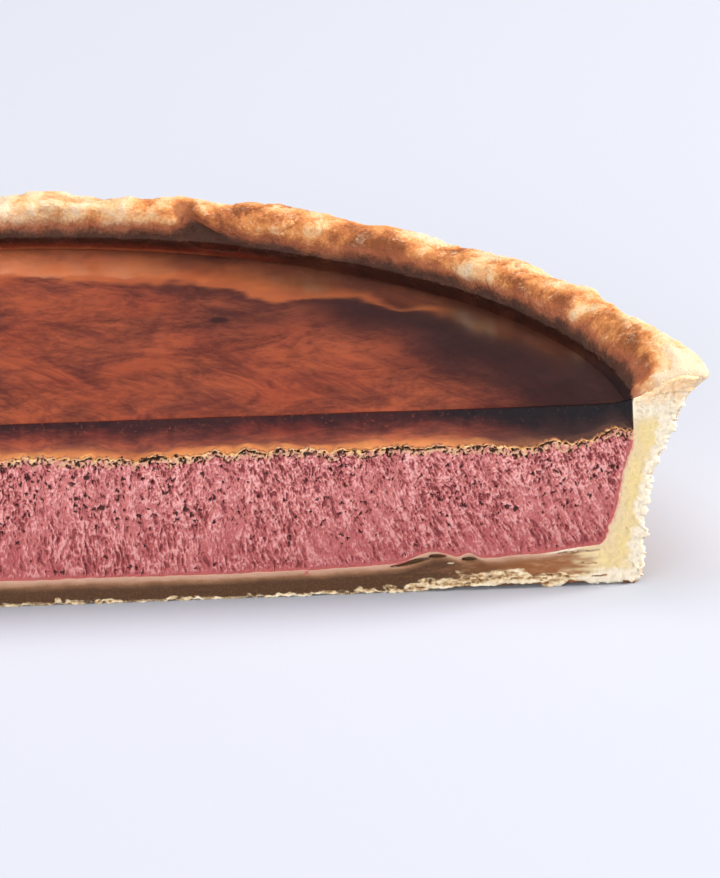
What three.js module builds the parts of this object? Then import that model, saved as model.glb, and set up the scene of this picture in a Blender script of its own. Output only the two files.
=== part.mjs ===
// Half of a deep savoury tart, cut straight through the middle.
// A short pastry crust with a rough hand-trimmed rim holds a baked liver parfait, and a clear jelly is set on top.
// Millimetres, +Z up. The tart rests on its flat underside, and the cut face looks along -Y.
import * as THREE from "three";

// Driving dimensions. Radii run from the tart's axis and heights from the underside.
const JELLY_RADIUS = 100;
const FOOT_RADIUS = 102.4;
const LIP_RADIUS = 108.4;
const END_FLARE = 4;
const END_FLARE_ANGLE = 0.22;
const END_PRESS = 2.6;
const END_PRESS_ANGLE = 0.07;
const FLARE_START = 17;
const RIM_HEIGHT = 37.4;
const JELLY_LEVEL = 31.5;
const PARFAIT_LEVEL = 25.2;
const BASE_THICKNESS = 4.4;
const CORNER_THICKNESS = 7;
const CORNER_RADIUS = 95.3;
const FOOT_ROUNDING = 1.4;
const GAP = 0.3;

// Sag of the fillings at their edges: each climbs the crust a little as it sets.
const PARFAIT_CLIMB = 1.7;
const PARFAIT_CLIMB_WIDTH = 10;
const JELLY_CLIMB = 0.5;
const JELLY_CLIMB_WIDTH = 3;

// Relief. A wave is [radians of phase along it, starting phase, height in millimetres]. Rim and crag waves run
// with the angle round the axis, ledge waves with the height in millimetres, ripples with the distance in metres.
const RIM_HEIGHT_WAVES = [
  [4.39, 1.34, 0.8],
  [13, 0.5, 0.35],
  [29, 2.4, 0.45],
  [47, 0.8, 0.35],
];
const RIM_REACH_WAVES = [
  [6, 2.6, 0.5],
  [17, 1.1, 0.4],
  [37, 0.2, 0.4],
];
const CRAG_WAVES = [
  [21, 0.7, 0.25],
  [43, 1.9, 0.25],
];
const LEDGE_WAVES = [
  [0.62, 0.4, 0.3],
  [1.15, 2.1, 0.3],
];
const LEDGE_DRIFT = 9;
const RIPPLE_WAVES = [
  [195, 0.4, 0.22],
  [420, 1.7, 0.16],
];

// Tessellation.
const STATIONS = 96;
const OUTER_STEPS = 14;
const RIM_STEPS = 8;
const INNER_STEPS = 9;
const FLOOR_STEPS = 5;
const TOP_KNOTS = [0.25, 0.5, 0.75, 0.9, 0.96];

const at = (radius, height) => new THREE.Vector2(radius, height);
const spline = (points, steps) => new THREE.SplineCurve(points).getPoints(steps);

// Sum of sines along an angle or a distance.
function waves(list, along) {
  return list.reduce((sum, [cycles, phase, height]) => sum + height * Math.sin(cycles * along + phase), 0);
}

// Height of a polyline's second coordinate where its first one has the given value.
function readAlong(points, value, from, to) {
  for (let i = 1; i < points.length; i++) {
    const low = points[i - 1];
    const high = points[i];
    const inside = (value - low[from]) * (value - high[from]) <= 0;
    if (inside && low[from] !== high[from]) {
      return THREE.MathUtils.mapLinear(value, low[from], high[from], low[to], high[to]);
    }
  }
  throw new Error("the outline does not reach " + value);
}

// The crust's section, in four stretches that run anticlockwise from the axis and back to it.
const underside = [0, 0.33, 0.66].map((share) => at(share * FOOT_RADIUS, 0));
underside.push(at(FOOT_RADIUS - FOOT_ROUNDING, 0));

const outerWall = spline(
  [
    at(FOOT_RADIUS, FOOT_ROUNDING),
    at(FOOT_RADIUS + 0.1, 9),
    at(FOOT_RADIUS + 0.9, 17),
    at(FOOT_RADIUS + 2.9, 24),
    at(FOOT_RADIUS + 4.2, 31),
    at(LIP_RADIUS, RIM_HEIGHT - 1.6),
  ],
  OUTER_STEPS,
);

const rimTop = spline(
  [
    at(LIP_RADIUS + 0.2, RIM_HEIGHT - 0.9),
    at(LIP_RADIUS - 0.9, RIM_HEIGHT + 0.3),
    at(JELLY_RADIUS + 5.4, RIM_HEIGHT + 0.6),
    at(JELLY_RADIUS + 2.9, RIM_HEIGHT - 0.6),
    at(JELLY_RADIUS + 1.2, RIM_HEIGHT - 2.8),
  ],
  RIM_STEPS,
);

const innerWall = spline(
  [
    at(JELLY_RADIUS + 0.5, JELLY_LEVEL + 1.4),
    at(JELLY_RADIUS + 0.3, JELLY_LEVEL),
    at(JELLY_RADIUS + 0.5, PARFAIT_LEVEL),
    at(JELLY_RADIUS - 0.7, PARFAIT_LEVEL - 5.5),
    at(JELLY_RADIUS - 2.2, 13),
    at(CORNER_RADIUS + 1, CORNER_THICKNESS + 1.2),
  ],
  INNER_STEPS,
);

const floor = spline(
  [
    at(CORNER_RADIUS, CORNER_THICKNESS),
    at(CORNER_RADIUS - 16, BASE_THICKNESS + 1.1),
    at(0.45 * CORNER_RADIUS, BASE_THICKNESS),
    at(0, BASE_THICKNESS),
  ],
  FLOOR_STEPS,
);

// The crust at one angle: the rim rises, dips and reaches out unevenly, the knife has splayed and pressed it down
// at the two cut ends, and the outer wall has crags and ledges of flaking pastry.
function crustSection(angle) {
  const fromEnd = Math.min(angle, Math.PI - angle);
  const flare = END_FLARE * (1 - THREE.MathUtils.smoothstep(fromEnd, 0, END_FLARE_ANGLE));
  const press = END_PRESS * (1 - THREE.MathUtils.smoothstep(fromEnd, 0, END_PRESS_ANGLE));
  const lift = waves(RIM_HEIGHT_WAVES, angle) - press;
  const reach = waves(RIM_REACH_WAVES, angle) + flare;
  const raised = rimTop.map((p) => {
    const outward = THREE.MathUtils.inverseLerp(JELLY_RADIUS, LIP_RADIUS, p.x);
    return at(p.x + reach * outward, p.y + lift);
  });
  const craggy = outerWall.map((p) => {
    const rim = THREE.MathUtils.smoothstep(p.y, JELLY_LEVEL, RIM_HEIGHT);
    const flared = THREE.MathUtils.clamp((p.y - FLARE_START) / (RIM_HEIGHT - FLARE_START), 0, 1) ** 2;
    const ledge = waves(LEDGE_WAVES, p.y + Math.sin(LEDGE_DRIFT * angle));
    const crag = waves(CRAG_WAVES, angle) + ledge;
    return at(p.x + crag * (1 - rim) + reach * flared, p.y + lift * rim);
  });
  return [...underside, ...craggy, ...raised, ...innerWall, ...floor];
}

// Height of the parfait's baked top at a point: level, gently rippled, and climbing the crust at its edge.
function parfaitTop(radius, angle) {
  const x = (radius * Math.cos(angle)) / 1000;
  const y = (radius * Math.sin(angle)) / 1000;
  const ripple = waves(RIPPLE_WAVES, x + 0.4 * y) + waves(RIPPLE_WAVES, y - 0.6 * x);
  const climb = THREE.MathUtils.smoothstep(radius, JELLY_RADIUS - PARFAIT_CLIMB_WIDTH, JELLY_RADIUS);
  return PARFAIT_LEVEL + ripple * (1 - climb) + PARFAIT_CLIMB * climb;
}

const wallRadius = (height) => readAlong(innerWall, height, "y", "x") - GAP;
const topKnots = TOP_KNOTS.map((share) => share * JELLY_RADIUS);
const parfaitEdge = at(wallRadius(PARFAIT_LEVEL + PARFAIT_CLIMB), PARFAIT_LEVEL + PARFAIT_CLIMB);
const jellyFoot = at(wallRadius(parfaitEdge.y + GAP), parfaitEdge.y + GAP);

// The parfait fills the crust from its floor to its own baked top.
function parfaitSection(angle) {
  const bottom = floor.toReversed().map((p) => at(p.x, p.y + GAP));
  const wall = innerWall.toReversed().filter((p) => p.y < parfaitEdge.y - GAP);
  const side = wall.map((p) => at(p.x - GAP, p.y));
  const top = topKnots.toReversed().map((radius) => at(radius, parfaitTop(radius, angle)));
  return [...bottom, ...side, parfaitEdge, ...top, at(0, parfaitTop(0, angle))];
}

// The jelly lies on the parfait and is level but for the thin line where it clings to the crust.
function jellySection(angle) {
  const bottom = [0, ...topKnots].map((radius) => at(radius, parfaitTop(radius, angle) + GAP));
  const cling = at(wallRadius(JELLY_LEVEL + JELLY_CLIMB), JELLY_LEVEL + JELLY_CLIMB);
  const level = [at(JELLY_RADIUS - JELLY_CLIMB_WIDTH, JELLY_LEVEL), at(0.5 * JELLY_RADIUS, JELLY_LEVEL)];
  return [...bottom, jellyFoot, cling, ...level, at(0, JELLY_LEVEL)];
}

// Carries a section round the axis through half a turn and closes the two ends of the cut.
// The section starts and ends on the axis, and has the same number of points at every angle.
function halfTurn(section) {
  const rows = Array.from({ length: STATIONS + 1 }, (_, i) => section((Math.PI * i) / STATIONS));
  const count = rows[0].length;
  const inner = count - 2;
  const positions = [0, 0, rows[0][0].y, 0, 0, rows[0][count - 1].y];
  rows.forEach((row, i) => {
    const angle = (Math.PI * i) / STATIONS;
    for (const p of row.slice(1, -1)) positions.push(p.x * Math.cos(angle), p.x * Math.sin(angle), p.y);
  });
  const vertex = (i, j) => (j === 0 ? 0 : j === count - 1 ? 1 : 2 + i * inner + j - 1);

  const faces = [];
  const addFace = (a, b, c) => {
    if (a !== b && b !== c && c !== a) faces.push(a, b, c);
  };
  for (let i = 0; i < STATIONS; i++) {
    for (let j = 0; j < count - 1; j++) {
      addFace(vertex(i, j), vertex(i + 1, j), vertex(i + 1, j + 1));
      addFace(vertex(i, j), vertex(i + 1, j + 1), vertex(i, j + 1));
    }
  }
  for (const i of [0, STATIONS]) {
    for (const [a, b, c] of THREE.ShapeUtils.triangulateShape(rows[i], [])) {
      const turns = THREE.ShapeUtils.area([rows[i][a], rows[i][b], rows[i][c]]) > 0;
      const outward = turns === (i === 0);
      addFace(vertex(i, a), vertex(i, outward ? b : c), vertex(i, outward ? c : b));
    }
  }
  const geometry = new THREE.BufferGeometry();
  geometry.setAttribute("position", new THREE.Float32BufferAttribute(positions, 3));
  geometry.setIndex(faces);
  geometry.computeVertexNormals();
  return geometry;
}

const pastry = new THREE.MeshStandardMaterial({ color: "#dfae6c", roughness: 0.8, metalness: 0 });
const liver = new THREE.MeshStandardMaterial({ color: "#b9666c", roughness: 0.6, metalness: 0 });
const amber = new THREE.MeshStandardMaterial({
  color: "#7a3418",
  roughness: 0.05,
  metalness: 0,
  transparent: true,
  opacity: 0.7,
});

function piece(name, section, material) {
  const mesh = new THREE.Mesh(halfTurn(section), material);
  mesh.name = name;
  return mesh;
}

const half = new THREE.Group();
half.add(piece("crust", crustSection, pastry));
half.add(piece("parfait", parfaitSection, liver));
half.add(piece("jelly", jellySection, amber));

// The origin is the middle of the underside of the whole half tart.
const reach = new THREE.Box3().setFromObject(half);
const middle = reach.getCenter(new THREE.Vector3());
half.position.set(-middle.x, -middle.y, -reach.min.z);

const tart = new THREE.Group();
tart.add(half);

export default tart;
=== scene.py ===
import bmesh
import bpy
import numpy as np
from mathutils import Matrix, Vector


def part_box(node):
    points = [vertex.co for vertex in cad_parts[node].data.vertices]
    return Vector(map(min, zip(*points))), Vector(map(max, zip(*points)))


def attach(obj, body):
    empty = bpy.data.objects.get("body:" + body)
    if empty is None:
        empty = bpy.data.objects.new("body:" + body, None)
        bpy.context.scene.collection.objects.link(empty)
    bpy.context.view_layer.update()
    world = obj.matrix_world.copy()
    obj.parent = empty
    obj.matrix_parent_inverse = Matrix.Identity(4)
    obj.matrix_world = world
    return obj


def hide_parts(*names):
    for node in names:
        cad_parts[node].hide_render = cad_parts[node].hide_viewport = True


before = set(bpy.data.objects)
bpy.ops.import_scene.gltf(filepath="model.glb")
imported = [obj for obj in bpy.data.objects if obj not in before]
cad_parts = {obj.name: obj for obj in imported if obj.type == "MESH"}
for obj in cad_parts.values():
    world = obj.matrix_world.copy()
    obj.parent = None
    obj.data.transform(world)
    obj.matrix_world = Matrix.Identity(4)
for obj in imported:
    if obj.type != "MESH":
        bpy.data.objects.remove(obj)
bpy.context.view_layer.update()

# Crust. Short pastry pressed into a deep tin by hand, trimmed roughly at the rim and baked until the rim
# browned. The wall leans out, the rim is lumpy and creased, and the knife has pressed down and rounded its
# two cut ends.
MM = 0.001
jelly_low, jelly_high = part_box("jelly")
AXIS_X = (jelly_low.x + jelly_high.x) / 2 / MM
CUT_Y = jelly_low.y / MM

JELLY_RADIUS = 100.0
FOOT_RADIUS = 102.4
LIP_RADIUS = 108.4
RIM_HEIGHT = 37.4
JELLY_LEVEL = 31.5
PARFAIT_LEVEL = 25.2
BASE_THICKNESS = 4.4
CORNER_RADIUS = 95.3
CORNER_THICKNESS = 7.0
FOOT_ROUNDING = 1.4
FLARE_START = 17.0
END_FLARE, END_FLARE_ANGLE = 4.0, 0.22
END_PRESS, END_PRESS_ANGLE = 2.6, 0.07
RIM_HEIGHT_WAVES = [(4.39, 1.34, 0.8), (13, 0.5, 0.35), (29, 2.4, 0.3), (47, 0.8, 0.15)]
RIM_REACH_WAVES = [(6, 2.6, 0.5), (17, 1.1, 0.4), (37, 0.2, 0.25)]
LIFT_ANGLES = [0.35, 0.75, 1.05, 1.4, 1.46, 1.53, 1.8, 2.4]
LIFT_HEIGHTS = [0.0, 0.6, 0.6, 0.0, 0.0, -1.0, -1.0, 0.0]
CREST = (JELLY_RADIUS + 5.4, RIM_HEIGHT + 0.6)
OUTER_LENGTH, INNER_LENGTH = 46.0, 38.0
NOTCH_ANGLE = np.radians(69)
NOTCH_SLANT = 0.9
SHELL_RECESS = 0.25
WALL_ROUNDING, RIM_ROUNDING = 0.35, 1.45
COLUMNS = 780
END_COLUMNS, END_ANGLE = 20, 0.03
CURVE_STEPS = 60
MERGE_DISTANCE, SLIVER_LENGTH = 2e-6, 1e-7

NOISE_CELLS = 64
SEED_STEP = 13
NOISE_HEIGHT = 1.6
SLOPES = np.random.default_rng(11).normal(size=(NOISE_CELLS, NOISE_CELLS, NOISE_CELLS, 3)).astype(np.float32)
SLOPES /= np.linalg.norm(SLOPES, axis=-1, keepdims=True)


def noise(x, y, z=0.0, seed=0):
    """Gradient noise, about -1 to 1. Each corner of the unit cell round a point has a random slope; its
    product with the way from the corner to the point is blended over the cell by 6f^5 - 15f^4 + 10f^3."""
    point = np.stack(np.broadcast_arrays(x, y, z), axis=-1).astype(float)
    cell = np.floor(point)
    part = point - cell
    fade = part**3 * (part * (part * 6 - 15) + 10)
    cell = cell.astype(int) + SEED_STEP * seed
    total = np.zeros(point.shape[:-1])
    for corner in np.ndindex(2, 2, 2):
        at = (cell + corner) % NOISE_CELLS
        slope = SLOPES[at[..., 0], at[..., 1], at[..., 2]]
        weight = np.prod(np.where(corner, fade, 1 - fade), axis=-1)
        total += weight * np.sum(slope * (part - corner), axis=-1)
    return NOISE_HEIGHT * total


def rough(x, y, z=0.0, seed=0, octaves=3):
    """Fractal noise: the sum of octaves of noise, each half as wide and half as high as the one before."""
    return sum(noise(x * 2**k, y * 2**k, z * 2**k, seed + k) / 2**k for k in range(octaves))


def ramp(value, start, end):
    """0 at start, 1 at end, and 3f^2 - 2f^3 of the share between them."""
    share = np.clip((value - start) / (end - start), 0, 1)
    return share * share * (3 - 2 * share)


def waves(parts, along):
    """Sum of height * sin(cycles * along + phase) over the parts (cycles, phase, height)."""
    return sum(height * np.sin(cycles * along + phase) for cycles, phase, height in parts)


def smooth_line(points, shares):
    """Points at shares of the length of a Catmull-Rom curve through the given points, its ends clamped."""
    knots = np.array(points, float)
    knots = np.vstack([knots[:1], knots, knots[-1:]])
    place = np.linspace(0, len(points) - 1, CURVE_STEPS * len(points))
    first = np.minimum(place.astype(int), len(points) - 2)
    f = (place - first)[:, None]
    a, b, c, d = (knots[first + k] for k in range(4))
    dense = b + 0.5 * f * (c - a + f * (2 * a - 5 * b + 4 * c - d + f * (3 * (b - c) + d - a)))
    length = np.concatenate([[0], np.cumsum(np.linalg.norm(np.diff(dense, axis=0), axis=1))])
    want = np.asarray(shares) * length[-1]
    return np.column_stack([np.interp(want, length, dense[:, k]) for k in range(2)])


def outer_line(shares):
    """Section of the outside, radius and height, from the crest of the rim down to the foot."""
    points = [
        CREST,
        (LIP_RADIUS - 0.9, RIM_HEIGHT + 0.3),
        (LIP_RADIUS + 0.2, RIM_HEIGHT - 0.9),
        (LIP_RADIUS - 0.3, RIM_HEIGHT - 2.6),
        (FOOT_RADIUS + 4.2, 31),
        (FOOT_RADIUS + 2.9, 24),
        (FOOT_RADIUS + 0.9, 17),
        (FOOT_RADIUS + 0.1, 9),
        (FOOT_RADIUS, FOOT_ROUNDING),
        (FOOT_RADIUS - FOOT_ROUNDING, 0),
    ]
    return smooth_line(points, shares)


def inner_line(shares, roll=0):
    """Section of the inside, radius and height, from the crest of the rim down to the corner of the floor.
    With a roll of 1 the rim stands up straight and rolls over inwards, as it does away from the cut."""
    points = [
        CREST,
        (JELLY_RADIUS + 2.9 - 1.6 * roll, RIM_HEIGHT - 0.6 + 0.7 * roll),
        (JELLY_RADIUS + 1.2 - 1.0 * roll, RIM_HEIGHT - 2.8 + 1.0 * roll),
        (JELLY_RADIUS + 0.5 - 0.3 * roll, JELLY_LEVEL + 1.4 + 0.6 * roll),
        (JELLY_RADIUS + 0.3, JELLY_LEVEL),
        (JELLY_RADIUS + 0.5, PARFAIT_LEVEL),
        (JELLY_RADIUS - 0.7, PARFAIT_LEVEL - 5.5),
        (JELLY_RADIUS - 2.2, 13),
        (CORNER_RADIUS + 1, CORNER_THICKNESS + 1.2),
        (CORNER_RADIUS, CORNER_THICKNESS),
    ]
    return smooth_line(points, shares)


def floor_line(radius):
    """Height of the crust's floor at a radius: level, then rising towards the corner."""
    points = [
        (0, BASE_THICKNESS),
        (0.45 * CORNER_RADIUS, BASE_THICKNESS),
        (CORNER_RADIUS - 16, BASE_THICKNESS + 1.1),
        (CORNER_RADIUS, CORNER_THICKNESS),
    ]
    line = smooth_line(points, np.linspace(0, 1, 200))
    return np.interp(radius, line[:, 0], line[:, 1])


def shaped(line, angle, outside):
    """Carries a section round the axis: the rim's points rise and reach out by their waves, flare out at the
    two cut ends and are pressed down there; on the outside the flare starts part of the way up the wall.
    Half-way to the back on the right the rim stands a little higher, and past the back a little lower."""
    radius, height = line[..., 0], line[..., 1]
    from_end = np.minimum(angle, np.pi - angle)
    lift = waves(RIM_HEIGHT_WAVES, angle) - END_PRESS * (1 - ramp(from_end, 0, END_PRESS_ANGLE))
    lift = lift + np.interp(angle, LIFT_ANGLES, LIFT_HEIGHTS)
    reach = waves(RIM_REACH_WAVES, angle) + END_FLARE * (1 - ramp(from_end, 0, END_FLARE_ANGLE))
    if outside:
        high = ramp(height, JELLY_LEVEL, RIM_HEIGHT)
        wide = np.clip((height - FLARE_START) / (RIM_HEIGHT - FLARE_START), 0, 1) ** 2
        wide = np.minimum(wide, np.clip((radius - JELLY_RADIUS) / (LIP_RADIUS - JELLY_RADIUS), 0, 1))
    else:
        high = ramp(height, JELLY_LEVEL + 0.6, RIM_HEIGHT - 2.8)
        wide = np.clip((radius - JELLY_RADIUS) / (LIP_RADIUS - JELLY_RADIUS), 0, 1) * high
    return radius + reach * wide, height + lift * high


def round_axis(radius, height, angle):
    """Points of a radius and height at an angle round the tart's axis."""
    return np.stack(np.broadcast_arrays(radius * np.cos(angle), radius * np.sin(angle), height), axis=-1)


def two_paces(part, first, second, start=0.0):
    """Shares up to 1: the first number of them evenly from the start to a part, the second from there on."""
    return np.concatenate([np.linspace(start, part, first), np.linspace(part, 1, second)[1:]])


def across(edge, arc, share):
    """Straight lines from the points of the cut edge to those of the arc, at each share of the way."""
    share = np.asarray(share)[:, None, None]
    return edge * (1 - share) + arc * share


def outward(points):
    """Unit normals of a grid of points: the cross product of its differences over rows and columns."""
    normal = np.cross(np.gradient(points, axis=0), np.gradient(points, axis=1))
    return normal / np.maximum(np.linalg.norm(normal, axis=-1, keepdims=True), 1e-9)


def grid_piece(name, points, masks, capped=()):
    """Mesh piece over a grid of points in millimetres from the tart's axis, whose last row joins its first.
    masks are its point attributes, and each of capped is a face of rows that closes both ends. Doubles are
    merged, and the faces are turned so that the volume within them is above 0."""
    rows, columns = points.shape[:2]
    index = np.arange(rows * columns).reshape(rows, columns)
    after = np.roll(index, -1, axis=0)
    corners = [index[:, :-1], index[:, 1:], after[:, 1:], after[:, :-1]]
    faces = np.stack(corners, axis=-1).reshape(-1, 4).tolist()
    for face in capped:
        faces += [index[face, 0].tolist(), index[face, -1].tolist()]
    mesh = bpy.data.meshes.new(name)
    place = (points.reshape(-1, 3) + (AXIS_X, CUT_Y, 0)) * MM
    mesh.from_pydata(place.tolist(), [], faces)
    for mask, values in masks.items():
        shade = mesh.attributes.new(mask, "FLOAT", "POINT")
        shade.data.foreach_set("value", np.broadcast_to(values, (rows, columns)).astype(np.float32).ravel())
    work = bmesh.new()
    work.from_mesh(mesh)
    bmesh.ops.remove_doubles(work, verts=work.verts, dist=MERGE_DISTANCE)
    bmesh.ops.dissolve_degenerate(work, edges=work.edges, dist=SLIVER_LENGTH)
    bmesh.ops.recalc_face_normals(work, faces=work.faces)
    if work.calc_volume(signed=True) < 0:
        bmesh.ops.reverse_faces(work, faces=work.faces)
    work.to_mesh(mesh)
    work.free()
    mesh.polygons.foreach_set("use_smooth", np.ones(len(mesh.polygons), bool))
    piece = bpy.data.objects.new(name, mesh)
    bpy.context.scene.collection.objects.link(piece)
    return piece


class Wire:
    """An output socket of a material's nodes. Sums and products of wires and numbers add Math nodes."""

    def __init__(self, tree, socket=None):
        self.tree = tree
        self.socket = socket

    def node(self, kind, settings=None, values=None, output=0):
        """Adds a node: its settings, a ramp's stops among them, then a value or a wire for each socket."""
        made = self.tree.nodes.new("ShaderNode" + kind)
        for key, value in (settings or {}).items():
            if key == "stops":
                stops = made.color_ramp.elements
                while len(stops) < len(value):
                    stops.new(0.5)
                for stop, (place, colour) in zip(stops, value):
                    stop.position = place
                    stop.color = (*colour, 1)
            else:
                setattr(made, key, value)
        for key, value in (values or {}).items():
            if isinstance(value, Wire):
                self.tree.links.new(value.socket, made.inputs[key])
            else:
                made.inputs[key].default_value = value
        return Wire(self.tree, made.outputs[output])

    def math(self, operation, first, second=0.0):
        return self.node("Math", {"operation": operation}, {0: first, 1: second})

    def __add__(self, other):
        return self.math("ADD", self, other)

    def __radd__(self, other):
        return self.math("ADD", other, self)

    def __sub__(self, other):
        return self.math("SUBTRACT", self, other)

    def __rsub__(self, other):
        return self.math("SUBTRACT", other, self)

    def __mul__(self, other):
        return self.math("MULTIPLY", self, other)

    def __rmul__(self, other):
        return self.math("MULTIPLY", other, self)

    def clip(self, start, end):
        """0 at start, 1 at end and smooth between them."""
        settings = {"interpolation_type": "SMOOTHSTEP"}
        return self.node("MapRange", settings, {0: self, 1: start, 2: end})

    def mask(self, name):
        """The piece's own point attribute of this name."""
        return self.node("Attribute", {"attribute_name": name}, output=2)

    def place(self, stretch=(1, 1, 1), turn=(0, 0, 0), bend=0.0):
        """Object coordinates, with a pattern on them drawn out by stretch along turned axes. With bend, a
        slow noise first shifts them to either side by up to half that many metres."""
        spot = self.node("TexCoord", output=3)
        if bend:
            values = {"Vector": spot, "Scale": 0.4 / bend, "Detail": 1.0}
            drift = self.node("TexNoise", None, values, output=1)
            values = {0: drift, 1: (bend, bend, bend), 2: spot}
            spot = self.node("VectorMath", {"operation": "MULTIPLY_ADD"}, values)
        if stretch == (1, 1, 1):
            return spot
        values = {"Vector": spot, "Scale": stretch, "Rotation": turn}
        return self.node("Mapping", {"vector_type": "TEXTURE"}, values)

    def grain(self, size, detail=3.0, roughness=0.55, swirl=0.0, **place):
        """Noise from 0 to 1 in lumps about size metres wide, swirled by itself and drawn out as for place."""
        values = {"Vector": self.place(**place), "Scale": 1 / size, "Detail": detail}
        values.update({"Roughness": roughness, "Distortion": swirl})
        return self.node("TexNoise", None, values)

    def blend(self, share, start, end):
        """Colour between start and end by a share from 0 to 1."""
        start, end = (c if isinstance(c, Wire) else (*c, 1) for c in (start, end))
        return self.node("Mix", {"data_type": "RGBA"}, {0: share, 6: start, 7: end}, output=2)

    def bump(self, height, depth, under=None):
        """Normal of a surface whose height runs from 0 to 1 over a depth in metres."""
        values = {"Height": height, "Distance": depth, "Strength": 1.0}
        if under:
            values["Normal"] = under
        return self.node("Bump", None, values)

    def finish(self, **values):
        """Principled surface with these values, joined to the material's output."""
        named = {key.replace("_", " "): value for key, value in values.items()}
        surface = self.node("BsdfPrincipled", None, named)
        output = self.tree.nodes.new("ShaderNodeOutputMaterial")
        self.tree.links.new(surface.socket, output.inputs["Surface"])
        return output


def new_material(name):
    """An empty node material and the wire that starts it."""
    material = bpy.data.materials.new(name)
    material.use_nodes = True
    material.node_tree.nodes.clear()
    return material, Wire(material.node_tree)


near_end = np.linspace(SHELL_RECESS / JELLY_RADIUS, END_ANGLE, END_COLUMNS + 1)[:-1]
middle = np.linspace(END_ANGLE, np.pi - END_ANGLE, COLUMNS - 2 * END_COLUMNS)
turn = np.concatenate([near_end, middle, np.pi - near_end[::-1]])[::-1]
along_cut = np.linspace(-1, 1, COLUMNS)

outer_shares = two_paces(0.25, 30, 40)
inner_shares = two_paces(0.3, 34, 13)
outer_wall = round_axis(*shaped(outer_line(outer_shares)[:, None], turn, True), turn)
leaning, rolled = inner_line(inner_shares)[:, None], inner_line(inner_shares, 1)[:, None]
roll = ramp(np.minimum(turn, np.pi - turn), 0.15, 0.6)[:, None]
inner_wall = round_axis(*shaped(leaning + roll * (rolled - leaning), turn, False), turn)

foot_arc, corner_arc = outer_wall[-1], inner_wall[-1]
edge_y, edge_z = np.full(COLUMNS, SHELL_RECESS), np.zeros(COLUMNS)
foot_edge = np.stack([foot_arc[-1, 0] * along_cut, edge_y, edge_z], axis=-1)
corner_edge = np.stack([corner_arc[-1, 0] * along_cut, edge_y, edge_z], axis=-1)
underside = across(foot_edge, foot_arc, [0, 0.02, 0.08, 0.4, 0.75])
hollow_front = 1 - ramp(underside[..., 1], SHELL_RECESS, 7)
underside[..., 2] = 0.5 * hollow_front * ramp(FOOT_RADIUS - np.abs(underside[..., 0]), 0, 8)
crust_floor = across(corner_edge, corner_arc, [0.75, 0.4, 0.1, 0])
crust_floor[..., 2] = floor_line(np.hypot(crust_floor[..., 0], crust_floor[..., 1])) - 0.4

skins = np.concatenate([outer_wall[::-1], inner_wall[1:]])
normal = outward(skins)
x, y, z = np.moveaxis(skins, -1, 0)
arc = np.arctan2(y, x) * JELLY_RADIUS
inside = (np.arange(len(skins)) >= len(outer_shares))[:, None]
from_crest = np.concatenate([-outer_shares[::-1] * OUTER_LENGTH, inner_shares[1:] * INNER_LENGTH])[:, None]
high = ramp(z, 27, 34.5)

pressed = 0.7 + 0.3 * ramp(arc, 95, 125)
lumps = pressed * (0.5 * noise(x / 8, y / 8, z / 8, 1) + 0.45 * noise(x / 4.4, y / 4.4, z / 4.4, 2))
lumps += 0.26 * rough(x / 2.1, y / 2.1, z / 2.1, 3)
crease = np.clip(1 - np.abs(noise(x / 6, y / 6, z / 10, 6)) / 0.1, 0, 1) ** 2
crease *= ramp(noise(x / 12, y / 12, z / 12, 7), -0.2, 0.3) * pressed
notch_width = 1.3 + 0.3 * np.clip(39 - z, 0, 8) + 0.5 * noise(z / 2, 0.5, 0.5, 4)
notch = (arc - NOTCH_ANGLE * JELLY_RADIUS - NOTCH_SLANT * (z - 35)) / notch_width
notch = np.exp(-(notch**2)) * ramp(from_crest, -2, 1)
ledges = 0.34 * np.tanh(3.5 * noise(arc / 9, z / 1.9, 0.5, 8))
ledges += 0.2 * np.tanh(4 * noise(arc / 4, z / 0.9, 2.5, 9)) + 0.22 * rough(x / 2.4, y / 2.4, z / 1.6, 10)
relief = high * (lumps - 0.5 * crease - 1.6 * notch) + (1 - high) * np.where(inside, 0, ledges)
relief *= np.where(inside, ramp(z, 24, 33), ramp(z, 0, 2.5)) * (0.35 + 0.65 * ramp(y, 0, 5))
rounding = WALL_ROUNDING + (RIM_ROUNDING - WALL_ROUNDING) * ramp(z, 29, 35)
into_end = np.clip(1 - (y - SHELL_RECESS) / rounding, 0, 1)
sunk = rounding * (1 - np.sqrt(1 - into_end**2)) * np.where(inside, ramp(z, 32, 34), ramp(z, 0, 3))
skins = skins + normal * (relief - sunk)[..., None]

patches = noise(x / 8, y / 8, z / 8, 12) + 0.6 * noise(x / 3.4, y / 3.4, z / 3.4, 13)
patches += 0.25 * noise(x / 1.5, y / 1.5, z / 1.5, 14)
pale_end = (1 - ramp(y, 3, 17)) * (1 - ramp(from_crest, 0.5, 5))
# How brown the baked pastry is; the notch term also darkens the groove as a painted shadow.
toast_and_shade = 0.24 + 0.34 * ramp(from_crest, -1, 5) + 0.1 * ramp(from_crest, -9, -1) + 0.5 * patches
toast_and_shade += 0.25 * crease + 0.95 * notch - 0.35 * lumps - 0.36 * pale_end - 0.2 * ramp(arc, 120, 134)
toast_and_shade += 0.1 * ramp(arc, 70, 90) * (1 - ramp(arc, 112, 122)) - 0.3 * (1 - ramp(y, 0.4, 2.4)) * inside
toast_and_shade = high * toast_and_shade + (1 - high) * (0.46 + 0.15 * patches - 0.2 * ledges) * ramp(y, 0.5, 5)
# Painted shade on the inside of the wall: the last few millimetres above the jelly are darkened, higher up
# towards the two ends and in the notch, all the way down on the right, and less next to the cut.
damp = ramp(36.9 + 0.9 * np.abs(2 * ramp(arc, 60, 140) - 1) + 0.9 * patches + 2.5 * notch - z, 0, 5.2)
damp *= np.maximum(ramp(z, 26.5, 31), 1 - ramp(arc, 95, 130)) * inside
damp *= 1 - 0.75 * (1 - ramp(y + 1.5 * patches, 0.8, 6)) * ramp(z, 31.5, 34)
sunken = ramp(31.2 - z, 1, 5) * inside

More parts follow.
